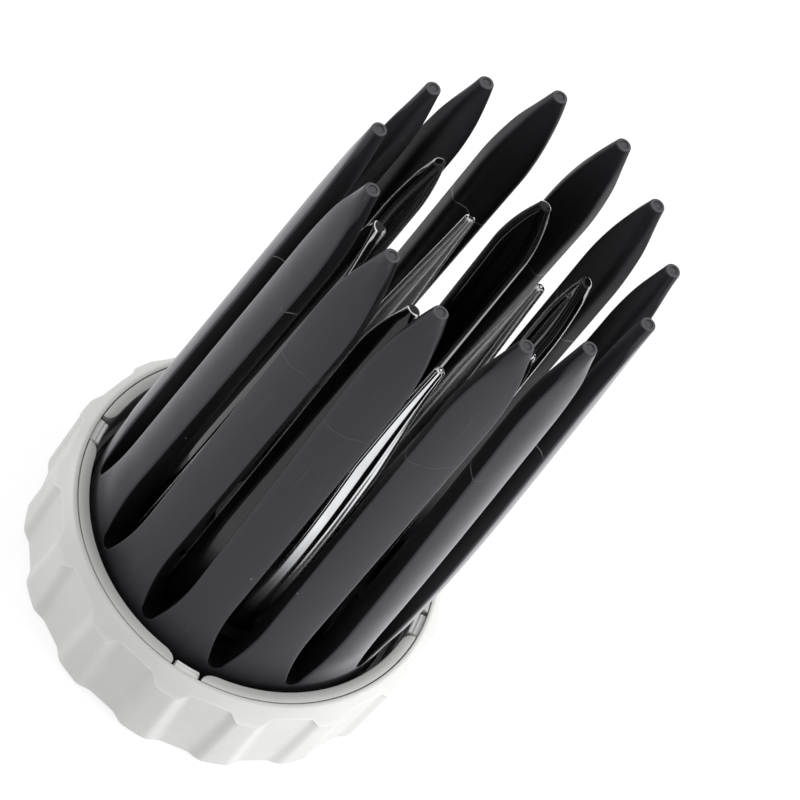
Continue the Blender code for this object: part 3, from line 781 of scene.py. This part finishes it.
def inner_blade(name, node, size, taper_length, taper_power, lean, tip_round, shape):
    """Shorter prong: a straight body, a shouldered taper and a rounded tip."""
    half, tip_half, thick, tip_thick = size
    root_z, tip_z = heights(node)
    outer_radius = radii(node)[1]
    length = tip_z - HUB_TOP_Z
    taper_start = length - taper_length
    dense = [(0.0, 4 * MM, 1.0 * MM), (4 * MM, taper_start, 4.0 * MM),
             (taper_start - 0.6 * MM, taper_start + 1.2 * MM, 0.2 * MM),
             (taper_start, length - tip_round, 0.8 * MM)]
    root = shape(half, outer_radius, thick, 0.25 * MM, 0.8, 6.0)
    loops = [at_height(shrunk(root, 0.92, (outer_radius - thick / 2, 0.0)), root_z),
             at_height(root, root_z + 0.3 * MM), at_height(root, HUB_TOP_Z - 0.5 * MM)]
    for rise in spread_stations(length - tip_round, dense):
        taper = max(0.0, (rise - taper_start) / taper_length) ** taper_power
        width = half - (half - tip_half) * taper
        thickness = thick - (thick - tip_thick) * rise / length
        settle = min(1.0, rise / (4.0 * MM))
        flat = shape(width, outer_radius - lean * rise, thickness, 0.3 * MM, 0.8 - 0.4 * settle,
                     6.0 - 2.7 * settle)
        share = max(0.0, (rise - taper_start) / taper_length)
        flat = rounded(flat, smooth((share - 0.75) / 0.25), width, thickness)
        loops.append(at_height(flat, HUB_TOP_Z + rise))
    loops += tip_loops(flat, tip_z, tip_round, 0.0, 0.0)
    return loft(name, loops, sharp=60.0)


def bent(mesh, name, start, length, bend):
    """Copy a blade's mesh with its tip moved, the rest in proportion, and the bend's bows added."""
    copy = mesh.copy()
    copy.name = name
    outward, sideways, bow, side_bow = (*bend, 0.0, 0.0)[:4]
    for vertex in copy.vertices:
        rise = min(1.0, max(0.0, (vertex.co.z - start) / length))
        share = rise ** BEND_POWER
        bulge = BOW_SCALE * rise * (1 - rise) ** 2
        vertex.co.x += (outward * share + bow * bulge) * MM
        vertex.co.y += (sideways * share + side_bow * bulge) * MM
    return copy


def ring_of_blades(stem, nodes, mesh, body, material, bends):
    """Stand one blade at the angle of each node, each with its own slight bend."""
    start = LEDGE_Z if body == "outer_crown" else HUB_TOP_Z
    length = heights(nodes[0])[1] - start
    for number, (node, bend) in enumerate(zip(nodes, bends), start=1):
        name = f"{stem}_{number:02d}"
        piece(name, bent(mesh, name, start, length, bend), body, node, material, node_angle(node))


# ---------------- cap, ring and keys

RIB_COUNT = 15
RIB_START = 184.0 * DEGREE
RIB_TOP_HALF = 2.5
RIB_FOOT_HALF = 6.0
RIB_WIDENING = 0.35
SHOULDER_STEP = 0.12 * MM
PANEL_RADIUS = 28.5 * MM
PANEL_HALF = 5.0 * DEGREE
RIB_HEIGHT = 0.85 * MM
COLUMNS_PER_RIB = 30
CAP_CAVITY_RADIUS = 26.8 * MM
CAP_SHELF_RADIUS = 25.95 * MM
CAP_SHELF_Z = 6.7 * MM
CAP_FLOOR_Z = 2.0 * MM
BOSS_RADIUS = 6.5 * MM
BOSS_TOP_Z = 3.7 * MM
SCREW_HOLE_RADIUS = 2.3 * MM
SCREW_HOLE_Z = 0.7 * MM
SHOULDER_BORDER_Z = 14.0 * MM
SHOULDER_DROP = 0.14 * MM
RIB_END_Z = 2.8 * MM
FOOT_ROUND = 1.5 * MM
FOOT_TUCK = 0.15 * MM
FOOT_STEPS = 6
BASE_RADIUS = 8.0 * MM
SHOULDER = np.array([(26.95, 17.0), (27.25, 16.94), (27.5, 16.8), (28.0, 16.2), (28.5, 15.5), (29.3, 14.3),
                     (30.1, 13.1), (31.0, 11.7)]) * MM


def rib_radius(angle, height):
    """Radius of the cap's side: nearly flat panels between raised ribs that widen downwards."""
    pitch = math.tau / RIB_COUNT
    across = (angle - RIB_START + pitch / 2) % pitch - pitch / 2
    turn = abs(across) / DEGREE / (1 + RIB_WIDENING * (1 - height / RIM_Z))
    raised = 1.0 - smooth((turn - RIB_TOP_HALF) / (RIB_FOOT_HALF - RIB_TOP_HALF))
    panel = PANEL_RADIUS * math.cos(PANEL_HALF) / math.cos(abs(across) - pitch / 2)
    return min(panel, PANEL_RADIUS) + RIB_HEIGHT * raised


def shoulder_radius(height):
    """Radius that the cap's rounded shoulder allows at a height."""
    return float(np.interp(height, SHOULDER[::-1, 1], SHOULDER[::-1, 0]))


def shoulder_height(radius):
    """Height at which the cap's rounded shoulder reaches a radius."""
    return float(np.interp(radius, SHOULDER[:, 0], SHOULDER[:, 1]))


def cap_shell():
    """Cap with ribs, a rounded shoulder, a soft lower edge and a hollow with a screw boss."""
    above = [0.01, 0.03, 0.06, 0.1, 0.16, 0.24, 0.33, 0.43, 0.54, 0.66, 0.78, 0.9, 1.0]
    below = [0.0, 0.03, 0.08, 0.18, 0.3, 0.43, 0.56, 0.7, 0.85, 1.0]
    inner = [(0.0, SCREW_HOLE_Z), (SCREW_HOLE_RADIUS, SCREW_HOLE_Z), (SCREW_HOLE_RADIUS, BOSS_TOP_Z),
             (BOSS_RADIUS, BOSS_TOP_Z), (BOSS_RADIUS, CAP_FLOOR_Z), (CAP_SHELF_RADIUS, CAP_FLOOR_Z),
             (CAP_SHELF_RADIUS, CAP_SHELF_Z), (CAP_CAVITY_RADIUS, CAP_SHELF_Z), (CAP_CAVITY_RADIUS, RIM_Z),
             (27.2 * MM, RIM_Z)]
    rounding = [0.0, 0.1, 0.25, 0.3, 0.6, 0.8, 0.2, 0.2, 0.12, 0.0]
    inner = fillet(inner, [value * MM for value in rounding], 4, closed=False)[:-1]
    outlines = []
    count = RIB_COUNT * COLUMNS_PER_RIB
    for column in range(count):
        angle = RIB_START + column * math.tau / count
        border = shoulder_height(rib_radius(angle, SHOULDER_BORDER_Z) + SHOULDER_STEP)
        outline = list(inner)
        for share in above:
            z = RIM_Z - (RIM_Z - border) * share
            outline.append((shoulder_radius(z), z))
        start = border - SHOULDER_DROP
        for share in below:
            z = start - (start - RIB_END_Z) * share
            outline.append((rib_radius(angle, z), z))
        wall = rib_radius(angle, 0.0)
        for step in range(FOOT_STEPS + 1):
            share = step / FOOT_STEPS
            turn = share * math.pi / 2
            reach = wall - FOOT_TUCK * share - FOOT_ROUND * (1 - math.cos(turn))
            outline.append((reach, FOOT_ROUND * (1 - math.sin(turn))))
        outline += [(BASE_RADIUS, 0.0), (0.0, 0.0)]
        outlines.append(outline)
    return turned("cap_shell", outlines, RIB_START, sharp=40.0)


NOTCH_HALF = 5.1 * DEGREE
RING_BOTTOM_Z, RING_TOP_Z = heights("lock_ring")
RING_OUTER = 26.7 * MM
RING_LIP = 25.1 * MM
RING_FOOT = 24.4 * MM
RING_FOOT_TOP_Z = 8.5 * MM
RING_SILL_Z = 13.5 * MM
LIP_ROUND_LENGTH = 4.6 * DEGREE
LIP_ROUND_STEPS = 14
LIP_STEPS = 40
NOTCH_STEPS = 8
SLIT = 0.012 * DEGREE


def ring_mesh():
    """Bayonet ring: four lips with rounded ends on one continuous band with a foot turned inward."""
    rounding = []
    for step in range(LIP_ROUND_STEPS + 1):
        turn = step / LIP_ROUND_STEPS * math.pi / 2
        rounding.append((LIP_ROUND_LENGTH * (1 - math.cos(turn)), math.sin(turn)))
    stations = []
    for notch in sorted(node_angle(node) for node in TAB_NODES):
        begin = notch + NOTCH_HALF
        end = notch + math.pi / 2 - NOTCH_HALF
        straight = end - begin - 2 * LIP_ROUND_LENGTH
        stations += [(begin + along, 1.0, fullness) for along, fullness in rounding]
        for step in range(1, LIP_STEPS):
            stations.append((begin + LIP_ROUND_LENGTH + straight * step / LIP_STEPS, 1.0, 1.0))
        stations += [(end - along, 1.0, fullness) for along, fullness in reversed(rounding)]
        stations.append((end + SLIT, 0.0, 1.0))
        for step in range(1, NOTCH_STEPS):
            stations.append((end + 2 * NOTCH_HALF * step / NOTCH_STEPS, 0.0, 1.0))
        stations.append((end + 2 * NOTCH_HALF - SLIT, 0.0, 1.0))
    edge = 0.18 * MM
    loops = []
    for angle, up, fullness in stations:
        top = RING_SILL_Z + (RING_TOP_Z - RING_SILL_Z) * up
        thin = RING_OUTER - 0.35 * MM
        lip = thin + (RING_LIP - thin) * fullness
        lip_edge = min(edge, (RING_OUTER - lip) * 0.3)
        outline = [(RING_FOOT, RING_BOTTOM_Z), (RING_OUTER - edge, RING_BOTTOM_Z),
                   (RING_OUTER, RING_BOTTOM_Z + edge), (RING_OUTER, RING_SILL_Z - 0.3 * MM),
                   (RING_OUTER, top - edge), (RING_OUTER - edge * 0.3, top - edge * 0.3),
                   (RING_OUTER - edge, top), ((RING_OUTER + lip) / 2, top),
                   (lip + lip_edge, top), (lip + lip_edge * 0.3, top - lip_edge * 0.3),
                   (lip, top - lip_edge), (lip, RING_SILL_Z - 0.05 * MM),
                   (RING_LIP, RING_SILL_Z - 0.1 * MM), (RING_LIP, RING_FOOT_TOP_Z),
                   (RING_FOOT, RING_FOOT_TOP_Z)]
        loops.append([polar(radius, angle, z) for radius, z in outline])
    return loft("lock_ring_lips", loops, closed=True, sharp=40.0)


KEY_REACH = 26.92 * MM
KEY_STEPS = 20


def key_mesh(node):
    """Small key with rounded ends and a raised bead along its top."""
    low, high = radii(node)
    bottom, top = heights(node)
    places = vertices(node)
    turns = np.arctan2(places[:, 1], places[:, 0])
    middle = node_angle(node)
    half = float(np.abs(around(turns - middle)).max())
    loops = []
    edge, bead = 0.15 * MM, 0.12 * MM
    for step in range(KEY_STEPS + 1):
        share = step / KEY_STEPS * 2 - 1
        turn = middle + half * share
        near = min(1.0, (1 - abs(share)) * half * high / edge)
        cover = math.sqrt(max(0.0, 1 - (1 - near) ** 2))
        inset = edge * (1 - cover)
        wide = (low + inset, KEY_REACH)
        ridge = wide[0] + (wide[1] - wide[0]) * 0.42
        outline = [(wide[0], bottom + inset), (wide[1], bottom + inset), (wide[1], top - edge - inset),
                   (wide[1] - edge * 0.3, top - edge * 0.3 - inset), (wide[1] - edge, top - inset),
                   (ridge + bead, top - inset), (ridge + bead * 0.4, top - inset),
                   (ridge - bead * 0.4, top - inset - bead), (ridge - bead, top - inset - bead * 1.2),
                   (wide[0] + edge, top - inset - bead * 1.2), (wide[0], top - inset - bead * 1.2 - edge)]
        loops.append([polar(radius, turn, z) for radius, z in outline])
    return loft("key", loops, sharp=35.0)


# ---------------- carriers and axis parts

LUG_HALF = 4.4 * DEGREE
LUG_TURN = 25.0 * DEGREE
LUG_BOTTOM_Z = 5.2 * MM
LUG_TOP_Z = 6.7 * MM
LUG_SLIT = 0.02 * DEGREE
CARRIER_RADIUS = 23.9 * MM
POCKET_FLOOR_Z = 8.0 * MM
POCKET_GAP = 0.3 * MM


def outer_carrier_mesh():
    """Ring with a pocket for each tenon, and bayonet lugs: one closed body."""
    bottom, top = heights("outer_carrier")
    bore, lug_reach = radii("outer_carrier")
    outer = CARRIER_RADIUS
    lugs = [node_angle(node) + LUG_TURN for node in TAB_NODES]
    marks = {step * math.tau / 180 for step in range(180)}
    for angle in lugs:
        for side in (-1, 1):
            marks |= {angle + side * (LUG_HALF - LUG_SLIT), angle + side * LUG_HALF}
    turns = sorted(mark % math.tau for mark in marks)
    kept = [turns[0]]
    for turn in turns[1:]:
        if turn - kept[-1] > LUG_SLIT / 2:
            kept.append(turn)
    edge = 0.2 * MM
    loops = []
    for turn in kept:
        near = min(abs(around(turn - angle)) for angle in lugs)
        lug = lug_reach if near < LUG_HALF - LUG_SLIT / 2 else outer + 0.01 * MM
        outline = [(bore, bottom + edge), (bore + edge, bottom), (outer - edge, bottom),
                   (outer, bottom + edge), (outer, LUG_BOTTOM_Z), (lug, LUG_BOTTOM_Z), (lug, LUG_TOP_Z),
                   (outer, LUG_TOP_Z), (outer, top - edge), (outer - edge, top), (bore + edge, top),
                   (bore, top - edge)]
        loops.append([polar(radius, turn, z) for radius, z in outline])
    ring = loft("carrier_ring", loops, closed=True, sharp=35.0)
    half = (TENON_HALF + POCKET_GAP) / TENON_RADIUS
    inner = TENON_RADIUS - TENON_THICKNESS - POCKET_GAP
    tools = [wedge(node_angle(node), half, inner, TENON_RADIUS + POCKET_GAP, top) for node in OUTER_NODES]
    return shaded(cut(ring, merged("tenon_tools", tools), "carrier_outer"), 35.0)


def wedge(angle, half, inner, outer, top):
    """Block with radial sides that cuts a pocket, from its floor to above a carrier's top."""
    turns = [angle + half * share for share in (-1.0, -0.33, 0.33, 1.0)]
    low = [polar(outer, turn, POCKET_FLOOR_Z) for turn in turns]
    low += [polar(inner, turn, POCKET_FLOOR_Z) for turn in reversed(turns)]
    high = [(x, y, top + MM) for x, y, _ in low]
    return loft("wedge", [low, high], sharp=30.0)


def inner_carrier_mesh():
    """Hub disc with slots and pockets for the inner prongs."""
    bottom, top = heights("inner_carrier")
    bore, reach = radii("inner_carrier")
    profile = [(bore, bottom), (reach, bottom), (reach, top), (bore, top)]
    profile = fillet(profile, [0.2 * MM, 0.3 * MM, 0.4 * MM, 0.3 * MM], 3)
    disc = revolve("hub_disc", profile, 180)
    tools = []
    for node in WIDE_NODES:
        half = (WIDE_SIZE[0] + POCKET_GAP) / WIDE_RADIUS
        tools.append(wedge(node_angle(node), half, WIDE_POCKET_INNER, reach + MM, top))
    for node in NARROW_NODES:
        half = (NARROW_SIZE[0] + POCKET_GAP) / NARROW_RADIUS
        tools.append(wedge(node_angle(node), half, *NARROW_POCKET, top))
    return shaded(cut(disc, merged("hub_tools", tools), "carrier_inner"), 35.0)


def screw_mesh():
    """Pan-head screw with a hexagonal socket."""
    bottom, top = heights("hub_screw")
    head, shank = 3.9 * MM, 2.0 * MM
    socket, socket_depth = 1.45 * MM, 1.4 * MM
    seat = top - 2.4 * MM
    crown = [(0.0, top), (head * 0.35, top - 0.03 * MM), (head * 0.62, top - 0.16 * MM),
             (head * 0.82, top - 0.48 * MM), (head * 0.95, top - 1.0 * MM), (head, top - 1.5 * MM)]
    profile = crown + [(head, seat + 0.15 * MM), (head - 0.15 * MM, seat), (shank, seat),
                       (shank, bottom + 0.5 * MM), (shank - 0.5 * MM, bottom), (0.0, bottom)]
    body = revolve("screw_body", profile, 96)
    low = [polar(socket, side * math.tau / 6, top - socket_depth) for side in range(6)]
    high = [(x, y, top + MM) for x, y, _ in low]
    return shaded(cut(body, loft("socket", [low, high], sharp=30.0), "screw"), 35.0)


def simple_turned(name, node, rounding):
    """Turned ring with rounded edges, the size of a CAD node."""
    bottom, top = heights(node)
    inner, outer = radii(node)
    profile = [(inner, bottom), (outer, bottom), (outer, top), (inner, top)]
    return revolve(name, fillet(profile, [rounding * MM] * 4, 5), 128)


# ---------------- build the pieces

MATTE = matte_black()
CARRIER = carrier_black()
WIDE_GLOSS = gloss_black()
NARROW_STEEL = polished_steel()
CAP_GREY = moulded_grey("cap_grey", (0.40, 0.445, 0.54), (0.3, 0.42), 4.1)
RING_GREY = moulded_grey("ring_grey", (0.35, 0.385, 0.48), (0.4, 0.52), 6.3)
KEY_GREY = moulded_grey("key_grey", (0.58, 0.63, 0.70), (0.42, 0.55), 7.9)
STEEL = turned_metal("dark_steel", (0.03, 0.03, 0.033), (0.07, 0.07, 0.075), 0.7)
BRONZE = turned_metal("bush_bronze", (0.36, 0.22, 0.09), (0.55, 0.37, 0.17), 1.9)

ring_of_blades("blade_outer", OUTER_NODES, outer_blade(), "outer_crown", MATTE,
               OUTER_BENDS)
wide_blade = inner_blade("wide_blade", WIDE_NODES[0], WIDE_SIZE, taper_length=11.5 * MM, taper_power=1.7,
                         lean=0.0431, tip_round=0.3 * MM, shape=section)
ring_of_blades("blade_wide", WIDE_NODES, wide_blade, "inner_crown", WIDE_GLOSS,
               WIDE_BENDS)
narrow_blade = inner_blade("narrow_blade", NARROW_NODES[0], NARROW_SIZE, taper_length=24.0 * MM,
                           taper_power=1.0, lean=0.0457, tip_round=0.55 * MM, shape=rod_section)
ring_of_blades("blade_narrow", NARROW_NODES, narrow_blade, "inner_crown", NARROW_STEEL,
               NARROW_BENDS)

piece("cap_shell", cap_shell(), "cap", "fluted_cap", CAP_GREY)
piece("ring_lips", ring_mesh(), "cap", "lock_ring", RING_GREY)
for number, node in enumerate(TAB_NODES, start=1):
    piece(f"key_{number}", key_mesh(node), "cap", node, KEY_GREY)
piece("carrier_outer", outer_carrier_mesh(), "outer_crown", "outer_carrier", CARRIER)
hub = piece("carrier_inner", inner_carrier_mesh(), "inner_crown", "inner_carrier",
            hub_black())
bevelled(hub, 0.12 * MM)
piece("bush", simple_turned("bush", "hub_bush", 0.25), "cap", "hub_bush", BRONZE)
piece("washer", simple_turned("washer", "hub_washer", 0.2), "cap", "hub_washer", STEEL)
screw = piece("screw", screw_mesh(), "cap", "hub_screw", STEEL)
bevelled(screw, 0.06 * MM, 2)
piece("gasket", simple_turned("gasket", "seat_gasket", 0.3), "cap", "seat_gasket",
      gasket_rubber())


# ---------------- floor, light and camera

FLOOR_HALF = 3.0
FLOOR_Z = -0.1 * MM
CAMERA_PLACE = (5.35 * MM, -279.4 * MM, 406.5 * MM)
CAMERA_LENS = 154.64
CAMERA_SHIFT = (-0.0709, -0.0524)
CAMERA_ROLL = 40.74 * DEGREE
LOOK_DOWN = 50.09 * DEGREE


def make_floor():
    """White floor that stays bright and takes a faint contact shadow."""
    mesh = bpy.data.meshes.new("studio_floor")
    corners = ((-1, -1), (1, -1), (1, 1), (-1, 1))
    mesh.from_pydata([(x * FLOOR_HALF, y * FLOOR_HALF, FLOOR_Z) for x, y in corners], [], [(0, 1, 2, 3)])
    floor = added("studio_floor", mesh)
    look = Look("floor_white")
    tone = look.noise(6.0, 3.0)
    base = look.mix(look.even(tone), (0.26, 0.26, 0.262), (0.28, 0.28, 0.28))
    look.set(Base_Color=base, Roughness=0.9, Specular_IOR_Level=0.0, Emission_Color=(1.0, 1.0, 1.0),
             Emission_Strength=0.74)
    mesh.materials.append(look.material)


def make_world():
    """Even white surroundings."""
    world = bpy.data.worlds.new("studio")
    world.use_nodes = True
    background = world.node_tree.nodes["Background"]
    background.inputs["Color"].default_value = (1.0, 1.0, 1.0, 1.0)
    background.inputs["Strength"].default_value = 1.0
    bpy.context.scene.world = world


def add_area(name, place, aim, size, power):
    """Large soft area light aimed at a point."""
    data = bpy.data.lights.new(name, "AREA")
    data.shape = "DISK"
    data.size = size
    data.energy = power
    light = added(name, data)
    light.location = place
    light.rotation_euler = (Vector(aim) - Vector(place)).to_track_quat("-Z", "Y").to_euler()
    return light


def add_camera():
    """Long lens from the front and above, rolled so that the object leans to the upper right."""
    data = bpy.data.cameras.new("camera")
    data.sensor_width = 36.0
    data.lens = CAMERA_LENS
    data.shift_x, data.shift_y = CAMERA_SHIFT
    data.clip_start = 0.01
    data.clip_end = 20.0
    camera = added("camera", data)
    turn = Matrix.Rotation(math.pi / 2 - LOOK_DOWN, 4, "X") @ Matrix.Rotation(CAMERA_ROLL, 4, "Z")
    camera.matrix_world = Matrix.Translation(CAMERA_PLACE) @ turn
    bpy.context.scene.camera = camera


make_floor()
make_world()
key_light = add_area("key_light", place=(0.62, 0.0, 0.22), aim=(0.0, 0.0, 0.04), size=0.5, power=5.8)
key_light.visible_glossy = False
add_area("left_light", place=(-0.6, -0.05, 0.16), aim=(0.0, 0.0, 0.02), size=0.4, power=1.5)
add_camera()
bpy.context.scene.view_settings.view_transform = "Standard"
